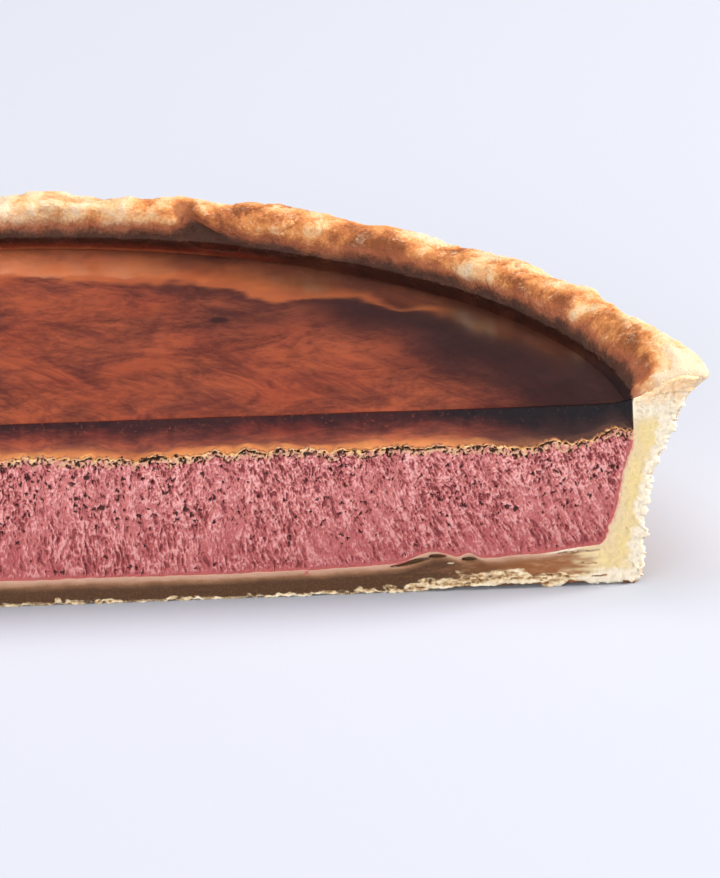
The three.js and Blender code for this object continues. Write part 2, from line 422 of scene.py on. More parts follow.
below, above = np.zeros(underside.shape[:2]), np.zeros(crust_floor.shape[:2])
crust_points = np.concatenate([underside, skins, crust_floor])
crust_masks = {
    # The underside is dark brown: baked pastry's own colour, and also painted shade in the gaps under the
    # lifted flakes of the cut.
    "toasted": np.concatenate([below + 0.95, toast_and_shade, above]),
    "hollow": np.concatenate([below, -relief, above]),
    "damp": np.concatenate([below, damp, above]),
    "sunken": np.concatenate([below, sunken, above]),
}
crust = grid_piece("crust_shell", crust_points, crust_masks, [range(len(crust_points))])

BAKING = [
    (0.0, (0.585, 0.45, 0.315)),
    (0.3, (0.61, 0.375, 0.19)),
    (0.55, (0.53, 0.215, 0.073)),
    (0.8, (0.33, 0.112, 0.038)),
    (1.0, (0.18, 0.058, 0.021)),
]
HOLLOW_SHADE_PASTRY = (0.27, 0.095, 0.03)
FLOURY_PASTRY = (0.63, 0.50, 0.35)
SUNKEN_PASTRY = (0.95, 0.66, 0.24)
PASTRY_IN_SHADE = (0.28, 0.088, 0.043)
PASTRY_IN_DEEP_SHADE = (0.055, 0.027, 0.02)
pastry, start = new_material("baked pastry")
speckle = start.grain(0.0009, 4, 0.65)
blotch = start.grain(0.0034, 4, 0.6)
crumbs = start.grain(0.0006, 3, 0.65)
toasted = start.mask("toasted") + 0.4 * (blotch - 0.5) + 0.4 * (speckle - 0.5) - 0.5 * (crumbs - 0.5)
colour = start.node("ValToRGB", {"stops": BAKING}, {0: toasted})
floury = (start.grain(0.0028, 5, 0.65) + 0.5 * (crumbs - 0.5)).clip(0.54, 0.74)
colour = start.blend(0.4 * floury, colour, FLOURY_PASTRY)
# Painted shade: the pastry is darkened in its hollows, by how deep the relief sinks.
hollow = (start.mask("hollow") - 0.8 * (crumbs - 0.5)).clip(0.05, 0.7)
colour = start.blend(0.5 * hollow, colour, HOLLOW_SHADE_PASTRY)
colour = start.blend(start.mask("sunken"), colour, SUNKEN_PASTRY)
# Painted shade: by that mask the pastry darkens towards the jelly, to near black where it is strongest.
damp = start.mask("damp") + 0.5 * (blotch - 0.5) - 0.4 * (crumbs - 0.5)
colour = start.blend(0.92 * damp.clip(0.05, 0.6), colour, PASTRY_IN_SHADE)
colour = start.blend(0.95 * damp.clip(0.55, 1.0), colour, PASTRY_IN_DEEP_SHADE)
crumbly = start.bump(start.grain(0.0011, 5, 0.65), 0.0005)
crumbly = start.bump(crumbs.clip(0.32, 0.68), 0.00014, crumbly)
start.finish(
    Base_Color=colour,
    Roughness=0.6 + 0.22 * speckle,
    Normal=crumbly,
    Specular_IOR_Level=0.2,
    Subsurface_Weight=0.12,
    Subsurface_Scale=0.0015,
    Subsurface_Radius=(1.0, 0.5, 0.2),
)
crust.data.materials.append(pastry)
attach(crust, "root")
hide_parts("crust")

# Cut face of the crust. The knife has gone through wall and base and bared the crumb: fluffy and cream in
# the wall, soaked to a waxy brown in the base, and breaking into white flakes along the bottom, with
# blisters near its top.
FACE_DEPTH = 1.2
RIM_INSET = 0.75
WALL_STEPS = 240
BASE_STEPS = 430
LAYERS = 34
BLISTERS = [(67.4, 4.0, 1.75), (73.6, 1.3, 1.05), (-38.0, 3.0, 0.9)]
SLIVERS = [
    (60.7, 4.5, 67.1, 5.75, 0.46),
    (66.9, 6.05, 70.0, 6.1, 0.36),
    (69.8, 4.75, 71.3, 4.7, 0.22),
    (72.4, 5.35, 74.9, 5.4, 0.36),
    (-41.0, 4.4, -36.5, 4.9, 0.36),
]
CRACKS = [
    (88.0, 5.75, 95.6, 6.3, 0.24),
    (91.8, 3.9, 94.8, 3.95, 0.2),
    (93.8, 1.6, 96.9, 1.65, 0.2),
    (80.4, 1.7, 82.4, 1.8, 0.2),
    (84.2, 2.1, 86.4, 2.2, 0.2),
    (-95.6, 6.2, -87.0, 5.6, 0.24),
    (-95.0, 2.6, -91.0, 2.9, 0.2),
]


def floor_at_cut(x):
    """Height of the crust's floor at the cut: its line with blisters (place, half width, height) on it."""
    bulge = sum(tall * np.exp(-(((x - place) / half) ** 2)) for place, half, tall in BLISTERS)
    return floor_line(np.abs(x)) + bulge + 0.12 * noise(x / 5, 0.3, 0.7, 20)


def slit(x, z, x0, z0, x1, z1, half):
    """Lens from one point to another: 1 along its middle, 0 at half times the root of 4f(1 - f) from it."""
    share = np.clip((x - x0) / (x1 - x0), 0, 1)
    width = half * np.sqrt(np.maximum(4 * share * (1 - share), 1e-6))
    return np.clip(1 - np.abs(z - z0 - share * (z1 - z0)) / width, 0, 1) * ((x > x0) & (x < x1))


def into_pastry(edge, side, from_tip):
    """Unit normals of a line of the cut, turned into the pastry, and straight down at the rim's crest."""
    way = np.gradient(edge, axis=0)
    normal = side * np.column_stack([way[:, 1], -way[:, 0]])
    normal /= np.maximum(np.linalg.norm(normal, axis=1, keepdims=True), 1e-9)
    free = ramp(from_tip, 0, 3)[:, None]
    return free * normal + (1 - free) * np.array([0, -1])


wall_shares = np.linspace(0, 1, WALL_STEPS)
base_shares = np.linspace(0, 1, BASE_STEPS)[:-1]
inner_edge, outer_edge = [], []
for side, angle in ((-1, np.pi), (1, 0.0)):
    inner_r, inner_z = shaped(inner_line(wall_shares), angle, False)
    outer_r, outer_z = shaped(outer_line(wall_shares), angle, True)
    base_x = side * base_shares * CORNER_RADIUS
    foot_x = side * base_shares * outer_r[-1]
    inner_wall_line = np.column_stack([side * inner_r, inner_z])[::-1]
    outer_wall_line = np.column_stack([side * outer_r, outer_z])[::-1]
    inner = np.concatenate([np.column_stack([base_x, floor_at_cut(base_x)]), inner_wall_line])
    outer = np.concatenate([np.column_stack([foot_x, 0 * foot_x]), outer_wall_line])
    inner_edge.append(inner if side > 0 else inner[:0:-1])
    outer_edge.append(outer if side > 0 else outer[:0:-1])
inner_edge, outer_edge = np.concatenate(inner_edge), np.concatenate(outer_edge)

length = np.concatenate([[0], np.cumsum(np.linalg.norm(np.diff(outer_edge, axis=0), axis=1))])
from_tip = np.minimum(length, length[-1] - length)
inner_way = into_pastry(inner_edge, 1, from_tip)
outer_way = into_pastry(outer_edge, -1, from_tip)
inner_edge = inner_edge + inner_way * (RIM_INSET * ramp(inner_edge[:, 1], 31.5, 34.5))[:, None]
uneven = 0.2 + 0.5 * noise(length / 2.4, 3.5, 0.5, 78) + 0.25 * noise(length / 0.8, 3.5, 0.5, 79)
uneven = np.maximum(uneven, 0) * (0.3 + 0.7 * ramp(inner_edge[:, 1], 7, 9))
uneven *= 1 - ramp(inner_edge[:, 1], 22, 24.5)
inner_edge = inner_edge - inner_way * uneven[:, None]
plain_outer = outer_edge + outer_way * (RIM_INSET * ramp(outer_edge[:, 1], 30, 34.5))[:, None]

on_base = (outer_edge[:, 1] < 1) * (1 - ramp(np.abs(outer_edge[:, 0]), FOOT_RADIUS - 4, FOOT_RADIUS - 1))
teeth = 0.6 * ramp(noise(length / 2.6, 0.5, 0.5, 21), -0.1, 0.25)
teeth += 0.45 * ramp(noise(length / 0.9, 1.5, 0.5, 22), 0, 0.3) + 0.4 * noise(length / 0.42, 2.5, 0.5, 18)
teeth *= ramp(from_tip, 4, 8) * (1 - on_base)
flecks = 0.26 * ramp(noise(length / 1.4, 0.2, 0.4, 24) + 0.5 * noise(length / 0.6, 0.2, 0.4, 19), 0.0, 0.4)
arches = 0.75 * ramp(noise(length / 4.2, 0.2, 0.4, 23), -0.08, 0.28) * ramp(np.abs(outer_edge[:, 0]), 62, 78)
outer_edge = plain_outer - outer_way * teeth[:, None]
outer_edge[:, 1] = np.maximum(outer_edge[:, 1] + on_base * (flecks + arches), 0)

layers = np.linspace(0, 1, LAYERS)[:, None]
x = inner_edge[:, 0] * (1 - layers) + outer_edge[:, 0] * layers
z = inner_edge[:, 1] * (1 - layers) + outer_edge[:, 1] * layers
thick = np.linalg.norm(outer_edge - inner_edge, axis=1)
from_inner, from_outer = layers * thick, (1 - layers) * thick
across_wall = from_inner / np.maximum(thick, 1e-6)

fingers = 3 * noise(x / 6, z / 0.9, 0.2, 35) + 1.5 * noise(x / 2, z / 0.5, 0.2, 34)
into_wall = ramp(np.abs(x) + fingers * (1 - ramp(z, 6, 9)), 87, 98)
rim_end = ramp(z, 31.5, 34)
fluffy = ramp(across_wall + 0.15 * noise(x / 2, z / 2, 0.2, 17), 0.45, 0.8)
fluffy = np.maximum(fluffy, ramp(z, 27, 31))
layered = ramp(np.abs(x) + 4 * noise(x / 7, z / 5, 0.2, 36), 48, 82)
edge_noise = 0.5 * noise(x / 2.6, z / 0.9, 0.3, 25) + 0.3 * noise(x / 0.9, z / 0.5, 0.3, 26)
reach = 0.15 + 2.4 * layered + 1.8 * edge_noise * (0.95 + 0.45 * layered)
flaky = ramp(reach - from_outer, -0.4 - 0.5 * layered, 0.4 + 0.5 * layered) * (1 - into_wall)
white_skin = (1 - ramp(from_inner + 0.3 * noise(x / 1.5, z, 0.2, 37), 0.25, 0.6)) * ramp(np.abs(x), 83, 90)
white_skin *= 1 - into_wall
waxy = (1 - into_wall) * (1 - flaky) * (1 - white_skin)
sheets = np.tanh(2.2 * noise(x / 2.6, z / 0.55, 0.6, 29) + 1.6 * noise(x / 0.8, z / 0.4, 0.6, 30))
voids = np.max([slit(x, z, *sliver) for sliver in SLIVERS], axis=0)
cracks = np.max([slit(x, z + 0.15 * noise(x / 1.1, 0.4, 0.4, 27), *crack) for crack in CRACKS], axis=0)

crumb = 0.28 * rough(x / 0.7, z / 0.7, 0.4, 28) + 0.26 * (0.28 - np.abs(noise(x / 1.9, z / 1.6, 0.4, 16)))
crumb *= into_wall * (0.5 + 0.5 * fluffy)
proud = crumb + 0.04 * waxy * noise(x / 3, z / 1.5, 0.4, 32)
proud += flaky * (0.24 * sheets + 0.3 * rough(x / 0.9, z / 0.7, 0.6, 31))
proud *= ramp(from_inner, 0, 0.4)
proud -= 0.95 * np.sqrt(voids) + 0.5 * cracks
proud -= 0.5 * ramp(0.6 - from_outer, 0, 0.6) * into_wall
proud -= 0.62 * rim_end * ramp(1.8 - np.minimum(from_inner, from_outer), 0, 1.8)
proud = np.clip(proud + 0.05, -FACE_DEPTH + 0.15, 0.5)

front = np.stack([x, -proud, z], axis=-1)
back = np.stack([np.column_stack([line[:, 0], 0 * length, line[:, 1]]) for line in (plain_outer, inner_edge)])
back[0] += np.column_stack([outer_way[:, 0], 0 * length, outer_way[:, 1]]) * 0.3
back[..., 1] = FACE_DEPTH
pad = np.zeros((2, len(length)))
core = into_wall * (1 - ramp(z, 27, 32)) * ramp(across_wall, -0.1, 0.45) * (1 - ramp(across_wall, 0.45, 0.95))
core *= 0.55 + 0.5 * ramp(noise(x / 3, z / 5, 0.2, 15), -0.35, 0.35)
stained = 1 - ramp(from_inner + 0.3 * noise(x / 1.3, z / 1.3, 0.2, 77), 0.0, 0.6)
stained *= (0.5 + 0.5 * ramp(z, 7, 9)) * (1 - ramp(z, 24.5, 26.5))
face_masks = {
    "waxy": waxy,
    "soaked": from_inner,
    "tan": ramp(np.abs(x), 60, 92),
    "flaky": flaky,
    "sheet": sheets,
    "low": 1 - ramp(from_outer, 0.2, 1.5),
    "void": voids,
    "crack": cracks,
    "core": core,
    "fluffy": np.maximum(into_wall * (0.22 + 0.78 * fluffy), white_skin),
    "toasted": ramp(z + 1.6 * noise(x / 2, z / 2, 0.1, 33), 28.8, 34.8),
    "stained": stained,
    "sunk": -crumb,
}
face_masks = {name: np.concatenate([values, pad]) for name, values in face_masks.items()}
cut_face = grid_piece("crust_cut_face", np.concatenate([front, back]), face_masks, [range(LAYERS + 2)])

CREAM_CRUMB = (0.61, 0.475, 0.295)
YELLOW_CRUMB = (0.65, 0.515, 0.255)
WHITE_FLAKE = (0.70, 0.625, 0.495)
SHADED_CRUMB = (0.48, 0.335, 0.165)
WAX_PALE = (0.44, 0.265, 0.188)
WAX_MIDDLE = (0.25, 0.122, 0.062)
WAX_BROWN = (0.058, 0.026, 0.011)
WAX_TAN = (0.22, 0.079, 0.026)
STAIN_PINK = (0.52, 0.25, 0.21)
DRY_EDGE = (0.52, 0.38, 0.23)
# Painted shade: the dark brown of the gaps between the flakes and of the cracks.
GAP_SHADE_BROWN = (0.12, 0.058, 0.024)
FLAKES = [
    (0.0, GAP_SHADE_BROWN),
    (0.22, (0.34, 0.20, 0.095)),
    (0.45, (0.58, 0.43, 0.255)),
    (0.7, (0.67, 0.545, 0.365)),
    (0.95, WHITE_FLAKE),
]
GOLDEN_PASTRY = (0.66, 0.40, 0.19)
VOID_SHADE_BROWN = (0.07, 0.034, 0.016)
crumb_material, start = new_material("cut pastry")
speckle = start.grain(0.0005, 4, 0.65)
fine = start.grain(0.00025, 3, 0.6)
streaks = start.grain(0.0009, 4, 0.6, stretch=(5, 1, 1))
colour = start.blend((start.mask("core") + 0.5 * (streaks - 0.5)).clip(0.0, 0.9), CREAM_CRUMB, YELLOW_CRUMB)
colour = start.blend((start.mask("fluffy") + 1.2 * (speckle - 0.5)).clip(0.25, 0.85), colour, WHITE_FLAKE)
sunk = start.mask("sunk") + 0.6 * (speckle - 0.5) + 0.3 * (fine - 0.5)
colour = start.blend(0.6 * sunk.clip(0.05, 0.4), colour, SHADED_CRUMB)
grainy = 1.4 * (speckle - 0.5) + 1.0 * (fine - 0.5)
colour = start.blend(0.8 * (start.mask("toasted") + grainy).clip(0.25, 1.1), colour, GOLDEN_PASTRY)
brown = start.blend((start.mask("tan") + 0.9 * (streaks - 0.5)).clip(0.0, 1.0), WAX_BROWN, WAX_TAN)
brown = start.blend(0.3 * (speckle + 0.8 * (fine - 0.5)).clip(0.44, 0.76), brown, WAX_TAN)
brown = start.blend(0.25 * start.mask("tan") * streaks.clip(0.5, 0.75), brown, CREAM_CRUMB)
soaked = start.mask("soaked") + 1.2 * (streaks - 0.5) + 0.8 * (fine - 0.5)
wax = start.blend(soaked.clip(0.0, 1.4), WAX_PALE, WAX_MIDDLE)
wax = start.blend(soaked.clip(0.6, 2.2), wax, brown)
broken = (start.mask("low") + 0.9 * (streaks - 0.5) + 0.6 * (fine - 0.5)).clip(0.85, 1.1)
wax = start.blend(0.7 * broken, wax, DRY_EDGE)
colour = start.blend((start.mask("waxy") + 0.6 * (streaks - 0.5)).clip(0.2, 0.9), colour, wax)
stained = (start.mask("stained") + 0.8 * (speckle - 0.5)).clip(0.2, 1.0)
colour = start.blend(0.75 * stained, colour, STAIN_PINK)
layer = 0.38 + 0.36 * start.mask("sheet") + 0.2 * start.mask("low") + 1.5 * (speckle - 0.5)
layer = layer + 0.9 * (streaks - 0.5)
flakes = start.node("ValToRGB", {"stops": FLAKES}, {0: layer})
colour = start.blend((start.mask("flaky") + 0.8 * (streaks - 0.5)).clip(0.2, 0.8), colour, flakes)
# Painted shade in the cracks.
colour = start.blend(0.8 * start.mask("crack").clip(0.05, 0.6), colour, GAP_SHADE_BROWN)
# Painted shade: the slivers under the blisters, sunk into the cut, are painted near black.
colour = start.blend(start.mask("void").clip(0.07, 0.24), colour, VOID_SHADE_BROWN)
crumbly = start.bump(start.grain(0.0005, 5, 0.7) * (1 - 0.8 * start.mask("waxy")), 0.0003)
start.finish(
    Base_Color=colour,
    Roughness=0.75 - 0.25 * start.mask("waxy"),
    Normal=crumbly,
    Specular_IOR_Level=0.2,
    Subsurface_Weight=0.25,
    Subsurface_Scale=0.0006,
    Subsurface_Radius=(1.0, 0.7, 0.4),
)
cut_face.data.materials.append(crumb_material)
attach(cut_face, "root")
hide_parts("crust")

# Parfait. Liver and cream, blended, poured into the crust and baked until just set under a thin golden skin.
# Its body lies hidden behind the cut; the skin is seen through the jelly, wrinkled in long dark veins.
PARFAIT_COLUMNS = 420
SKIN_ROWS = 70
SIDE_HEIGHTS = [20.0, 13.0, 8.5]
PARFAIT_CLIMB, PARFAIT_CLIMB_WIDTH = 1.7, 10.0
RIPPLE_WAVES = [(0.195, 0.4, 0.22), (0.42, 1.7, 0.16)]
BODY_RECESS = 0.95
TUCK = 0.25
SPOT = Vector((AXIS_X + 37, CUT_Y + 57, PARFAIT_LEVEL)) * MM
VEIN_TURN = np.radians(-48)
SHADE_WAY = np.radians(30)
EDGE_DEGREES = [36, 42, 50, 56, 75, 90]
EDGE_RADII = [92, 90.5, 87, 83, 83, 84]


def blisters(x, y):
    """Height of the bubbles that lift the skin: the size of two noises, less half a millimetre, higher at
    the cut, where a third and finer noise crumples it."""
    bubbles = 1.3 * np.abs(noise(x / 5, y / 9, 0.2, 40)) + 0.8 * np.abs(noise(x / 2.3, y / 4, 0.6, 41)) - 0.5
    crumpled = 0.45 * np.abs(noise(x / 0.9, y / 3, 0.4, 73)) - 0.1
    return bubbles * (1 - 0.75 * ramp(y, 1, 9)) + crumpled * (1 - ramp(y, 1, 4))


def skin_top(x, y):
    """Height of the parfait's skin: level, with the ripples of two crossed sets of waves and the blisters,
    and climbing the crust over its last few millimetres."""
    radius = np.hypot(x, y)
    ripple = waves(RIPPLE_WAVES, x + 0.4 * y) + waves(RIPPLE_WAVES, y - 0.6 * x)
    climb = ramp(radius, JELLY_RADIUS - PARFAIT_CLIMB_WIDTH, JELLY_RADIUS)
    return PARFAIT_LEVEL + ripple * (1 - climb) + PARFAIT_CLIMB * climb + blisters(x, y)


def wall_radius(height):
    """Radius of the crust's inside at a height."""
    line = inner_line(np.linspace(0.2, 1, 300))[::-1]
    return np.interp(height, line[:, 1], line[:, 0])


along = np.linspace(-1, 1, PARFAIT_COLUMNS)
turn = (1 - along) * np.pi / 2
skin_edge = round_axis(wall_radius(PARFAIT_LEVEL + PARFAIT_CLIMB) + TUCK, 0, turn)
floor_edge = round_axis(CORNER_RADIUS, 0, turn)
skin_chord = np.stack([skin_edge[-1, 0] * along, 0 * along, 0 * along], axis=-1)
floor_chord = np.stack([CORNER_RADIUS * along, 0 * along, 0 * along], axis=-1)
top_rows = across(skin_chord, skin_edge, np.linspace(0, 1, SKIN_ROWS))
side_heights = np.array(SIDE_HEIGHTS)[:, None]
side_rows = round_axis(wall_radius(side_heights) + TUCK, side_heights, turn)
bottom_rows = across(floor_chord, floor_edge, [1.0, 0.5, 0.0])
bottom_rows[..., 2] = floor_line(np.hypot(bottom_rows[..., 0], bottom_rows[..., 1])) - TUCK
parfait_points = np.concatenate([top_rows, side_rows, bottom_rows])
parfait_points[..., 1] = np.maximum(parfait_points[..., 1], BODY_RECESS)
x, y, _ = np.moveaxis(parfait_points, -1, 0)
parfait_points[:SKIN_ROWS, :, 2] = skin_top(x[:SKIN_ROWS], y[:SKIN_ROWS])
radius = np.hypot(x, y)
degrees = np.degrees(np.arctan2(y, x))
# Painted light: the skin is painted brighter along the cut, less towards the right.
cut_light = (1 - ramp(y, 2, 7)) * (1 - 0.7 * ramp(x, 60, 90))
# Painted shade on the skin, where the rim shades it: near the crust towards the back right, in a ring along
# the crust and in a soft patch behind the middle.
shade_patch = 0.7 * np.exp(-(((x - 42) / 12) ** 2) - ((y - 58) / 8) ** 2)
toward = x * np.cos(SHADE_WAY) + y * np.sin(SHADE_WAY)
to_wall = np.sqrt(np.maximum(toward**2 + JELLY_RADIUS**2 - radius**2, 0)) - toward
shaded = 1 - ramp(to_wall + 4 * noise(x / 14, y / 14, 0.4, 39), 13, 33)
shaded *= 1 - 0.8 * ramp(degrees, 70, 85)
by_wall = ramp(radius, 90, 99) * (0.9 - 0.3 * ramp(degrees, 70, 85))
# Painted reflection: a bright band with a wavy inner edge where the jelly mirrors the lit crest of the rim,
# round the back from the right to the left end, fading from that edge towards the crust.
past_edge = radius + 4 * noise(x / 9, y / 9, 0.4, 38) + 1.6 * noise(x / 3.5, y / 3.5, 0.4, 37)
past_edge = past_edge - np.interp(degrees, EDGE_DEGREES, EDGE_RADII)
fading = 0.85 * ramp(past_edge / np.interp(degrees, [46, 58], [4, 19]), 0.07, 1)
rim_reflection = ramp(past_edge, -1.5, 0.5) * (1 - fading) * ramp(degrees, 34, 40)
skin_masks = {
    "golden": np.maximum(0.8 * cut_light, rim_reflection),
    "browned": np.max([shaded, by_wall, shade_patch], axis=0),
}
side_face = range(SKIN_ROWS - 1, SKIN_ROWS + len(SIDE_HEIGHTS) + 1)
parfait = grid_piece("parfait_body", parfait_points, skin_masks, [side_face])

SKIN_GOLD = (0.76, 0.49, 0.175)
SKIN_BROWN = (0.25, 0.175, 0.09)
SKIN_PAINTED_LIGHT = (1.0, 0.76, 0.22)
SKIN_SHADE_AND_SPOT = (0.05, 0.05, 0.04)
VEIN_BROWN = (0.22, 0.145, 0.08)
skin_material, start = new_material("baked skin")
along_veins = {"stretch": (7, 1, 1), "turn": (0, 0, VEIN_TURN), "bend": 0.03}
mottle = 0.35 * start.grain(0.0024, 5, 0.7, 0.5) + 0.65 * start.grain(0.014, 6, 0.65, 0.8)
colour = start.blend(mottle.clip(0.36, 0.6), SKIN_BROWN, SKIN_GOLD)
wisps = start.grain(0.0042, 5, 0.6, 0.7, **along_veins).clip(0.52, 0.68)
veins = start.math("ABSOLUTE", start.grain(0.007, 4, 0.6, 0.5, **along_veins) - 0.5)
here = start.grain(0.02, 2).clip(0.4, 0.6)
colour = start.blend(0.7 * wisps * (0.35 + 0.65 * here), colour, VEIN_BROWN)
colour = start.blend(0.5 * (1 - veins.clip(0.0, 0.05)) * here, colour, VEIN_BROWN)
# Painted light and painted reflection: where that mask is high, the skin is painted a bright gold.
golden = start.mask("golden")
colour = start.blend(0.97 * golden, colour, SKIN_PAINTED_LIGHT)
# Painted shade: the skin is painted near black by that mask, except where the painted light is.
colour = start.blend(0.95 * start.mask("browned") * (1 - 0.85 * golden), colour, SKIN_SHADE_AND_SPOT)
off_spot = start.node("VectorMath", {"operation": "DISTANCE"}, {0: start.place(), 1: SPOT}, output=1)
# A small dark spot in the skin, in the same near black.
colour = start.blend(1 - off_spot.clip(0.0008, 0.0024), colour, SKIN_SHADE_AND_SPOT)
start.finish(Base_Color=colour, Roughness=0.55, Normal=start.bump(start.grain(0.0012, 4, 0.6), 0.0002))
parfait.data.materials.append(skin_material)
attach(parfait, "root")
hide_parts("parfait")

# Cut face of the parfait. The knife drags its soft crumb into fine slanting ridges and opens the bubbles,
# which are small, few below and more towards the top, where the skin shows as a gold line over a band of
# foam. It is fine enough to need five meshes, side by side.
FACE_PARTS = 5
FACE_COLUMNS = 600
BODY_ROWS, FOAM_ROWS, FOAM_START = 118, 42, 0.86
PIT_CELLS = 128
FACE_BACK = 1.2
SKIN_THICKNESS = 1.4
SMEAR_X, SMEAR_Z, SMEAR_SIZE = 54.0, 9.0, 5.0
TONGUE_X, TONGUE_WIDTH, TONGUE_LENGTH = 46.8, 0.6, 0.7


def pits(x, z, cell, share, small, large, seed):
    """Depth, 0 to 1, of pits strewn one to a square cell over a share of the cells, with radii from small to
    large: 1 - (distance / radius)^2 of the deepest one nearby, each squashed by a random amount."""
    draws = np.random.default_rng(seed).random((PIT_CELLS, PIT_CELLS, 5))
    cell_x, cell_z = np.floor(x / cell).astype(int), np.floor(z / cell).astype(int)
    deepest = np.zeros(np.broadcast(x, z).shape)
    for step_x, step_z in np.ndindex(3, 3):
        near_x, near_z = cell_x + step_x - 1, cell_z + step_z - 1
        draw = draws[near_x % PIT_CELLS, near_z % PIT_CELLS]
        radius = small + (large - small) * draw[..., 2] ** 2
        squash = 0.7 + 0.6 * draw[..., 4]
        side_way = (x - (near_x + draw[..., 0]) * cell) / squash
        up_way = (z - (near_z + draw[..., 1]) * cell) * squash
        depth = 1 - (side_way**2 + up_way**2) / radius**2
        deepest = np.maximum(deepest, np.where(draw[..., 3] < share, depth, 0))
    return deepest


def parfait_cut(along):
    """Points and masks of the cut at shares along it, -1 at its left and 1 at its right. Ridges are 1 - 2.3
    times the size of a noise drawn out along the slant, with strands below and grains above; pores, the
    foam's holes and the hollows under the blisters sink into them."""
    rise = two_paces(FOAM_START, BODY_ROWS, FOAM_ROWS)[:, None]
    x = along * (JELLY_RADIUS - 1) * np.ones_like(rise)
    for _ in range(4):
        tongue = TONGUE_LENGTH * np.exp(-(((x - TONGUE_X) / TONGUE_WIDTH) ** 2))
        low, top = floor_at_cut(x) - TUCK - tongue, skin_top(x, BODY_RECESS)
        z = low + rise * (top - low)
        x = along * (wall_radius(z) + TUCK)
    under_skin = skin_top(x, BODY_RECESS) - z
    above_floor = z - floor_at_cut(x)
    from_wall = wall_radius(z) - np.abs(x)

    lean = 0.12 + 0.36 * ramp(np.abs(x), 15, 75)
    slant = x + lean * (z - 15) + 0.5 * noise(x / 4, z / 5, 0.2, 42) + 0.25 * noise(x / 1.4, z / 1.7, 0.2, 43)
    airy = 0.2 + 0.8 * ramp(z + 2.5 * noise(x / 9, z / 6, 0.5, 49), 9, 21)
    worms = 1 - 2.3 * np.abs(noise(slant / 0.46, z / 1.15, 0.5, 44))
    trails = 1 - 2.3 * np.abs(noise(slant / 0.62, z / 3.4, 0.5, 67))
    strands = noise(slant / 0.3, z / 0.85, 0.5, 45)
    grains = noise(x / 0.38, z / 0.38, 0.5, 46) + 0.6 * noise(x / 0.2, z / 0.22, 0.5, 62)
    grit = (0.25 + 0.35 * airy) * grains + (0.6 - 0.35 * airy) * strands
    smear = np.exp(-(((x - SMEAR_X) / SMEAR_SIZE) ** 2) - ((z - SMEAR_Z) / SMEAR_SIZE) ** 2)
    drag = (0.75 + 0.5 * ramp(noise(x / 8, z / 7, 0.5, 47), -0.35, 0.25)) * (1 - 0.55 * smear)
    dragged = worms + 0.65 * (1 - airy) * (trails - worms)
    columns = noise(slant / 1.5, z / 4, 0.5, 48) + 0.6 * noise(x / 1.1, z / 1.2, 0.5, 59) * airy
    ridge = ((0.95 - 0.3 * airy) * (dragged - 0.36) + grit) * drag + 0.4 * columns
    lumps = 0.22 * columns
    from_crust = np.minimum(above_floor, from_wall) + 0.3 * noise(x / 1.1, z / 1.1, 0.5, 68)
    body = ramp(from_crust, 0.0, 0.9)

    wx = x + 0.36 * noise(x / 0.55, z / 0.55, 0.5, 50) + 0.16 * noise(x / 0.25, z / 0.25, 0.5, 64)
    wz = z + 0.36 * noise(x / 0.55, z / 0.55, 3.5, 51) + 0.16 * noise(x / 0.25, z / 0.25, 3.5, 65)
    bubbly = airy * (0.35 + 0.9 * ramp(noise(x / 6, z / 5, 0.5, 69), -0.2, 0.35))
    pores = pits(wx, wz, 0.95, 0.55 * bubbly, 0.13, 0.38, 52)
    pores = np.maximum(pores, pits(wx, wz, 2.6, 0.3 * bubbly, 0.3, 0.58, 53)) * body
    crumble = 0.6 * noise(x / 1.6, z / 1.2, 0.5, 54) + 0.35 * noise(x / 0.6, z / 0.6, 0.5, 55)
    skin = ramp(SKIN_THICKNESS + crumble - under_skin, -0.5, 0.5)
    gold = ramp(0.36 + 0.3 * noise(x / 0.8, z / 0.8, 0.5, 56) - under_skin, -0.08, 0.08)
    gold *= ramp(noise(x / 0.6, z / 0.45, 0.5, 74), -0.6, -0.15)
    foam = np.maximum(pits(wx, wz, 0.64, 0.85, 0.14, 0.31, 57), pits(wx, wz, 1.6, 0.5, 0.3, 0.56, 58))
    foam *= ramp(SKIN_THICKNESS + 0.2 + crumble - under_skin, -0.2, 0.2)
    arch = blisters(x, BODY_RECESS)
    hollow_end = 0.3 + 0.85 * arch + 0.4 * noise(x / 0.6, z / 0.4, 0.5, 63)
    hollow = ramp(arch, -0.05, 0.2) * ramp(noise(x / 3.3, 0.5, 0.5, 66), -0.3, 0)
    bridges = np.abs(noise(wx / 0.9, wz / 0.9, 0.5, 75))
    hollow *= ramp(hollow_end - under_skin, -0.1, 0.2) * ramp(bridges, 0.02, 0.12)
    foam = np.maximum(foam, hollow) * ramp(under_skin + 0.15 * noise(x / 0.5, z / 0.5, 0.5, 76), 0.16, 0.34)

    relief = (0.25 * ridge + lumps) * body * (1 - skin) + skin * 0.2 * rough(x / 0.7, z / 0.6, 0.5, 61, 2)
    relief -= 0.45 * np.sqrt(pores) + 0.65 * np.sqrt(foam)
    relief *= ramp(under_skin, -0.02, 0.2) * ramp(from_wall, -TUCK, 0.4)
    relief = np.clip(relief - 0.12 * (1 - body) * (1 - skin) + 0.3 * (above_floor < 0) * tongue, -0.85, 0.5)
    cut_rows = np.stack([x, -relief, z], axis=-1)
    back_rows = np.stack([cut_rows[-1], cut_rows[0]])
    back_rows[..., 1] = FACE_BACK
    masks = {
        "pit": np.maximum(pores, foam),
        "ridge": ridge * body * (1 - skin),
        "skin": skin,
        "gold": gold,
        "rise": rise * np.ones_like(x),
        "rind": 1 - ramp(from_crust, 0.0, 1.4),
    }
    masks = {name: np.concatenate([values, values[-1:], values[:1]]) for name, values in masks.items()}
    return np.concatenate([cut_rows, back_rows]), masks


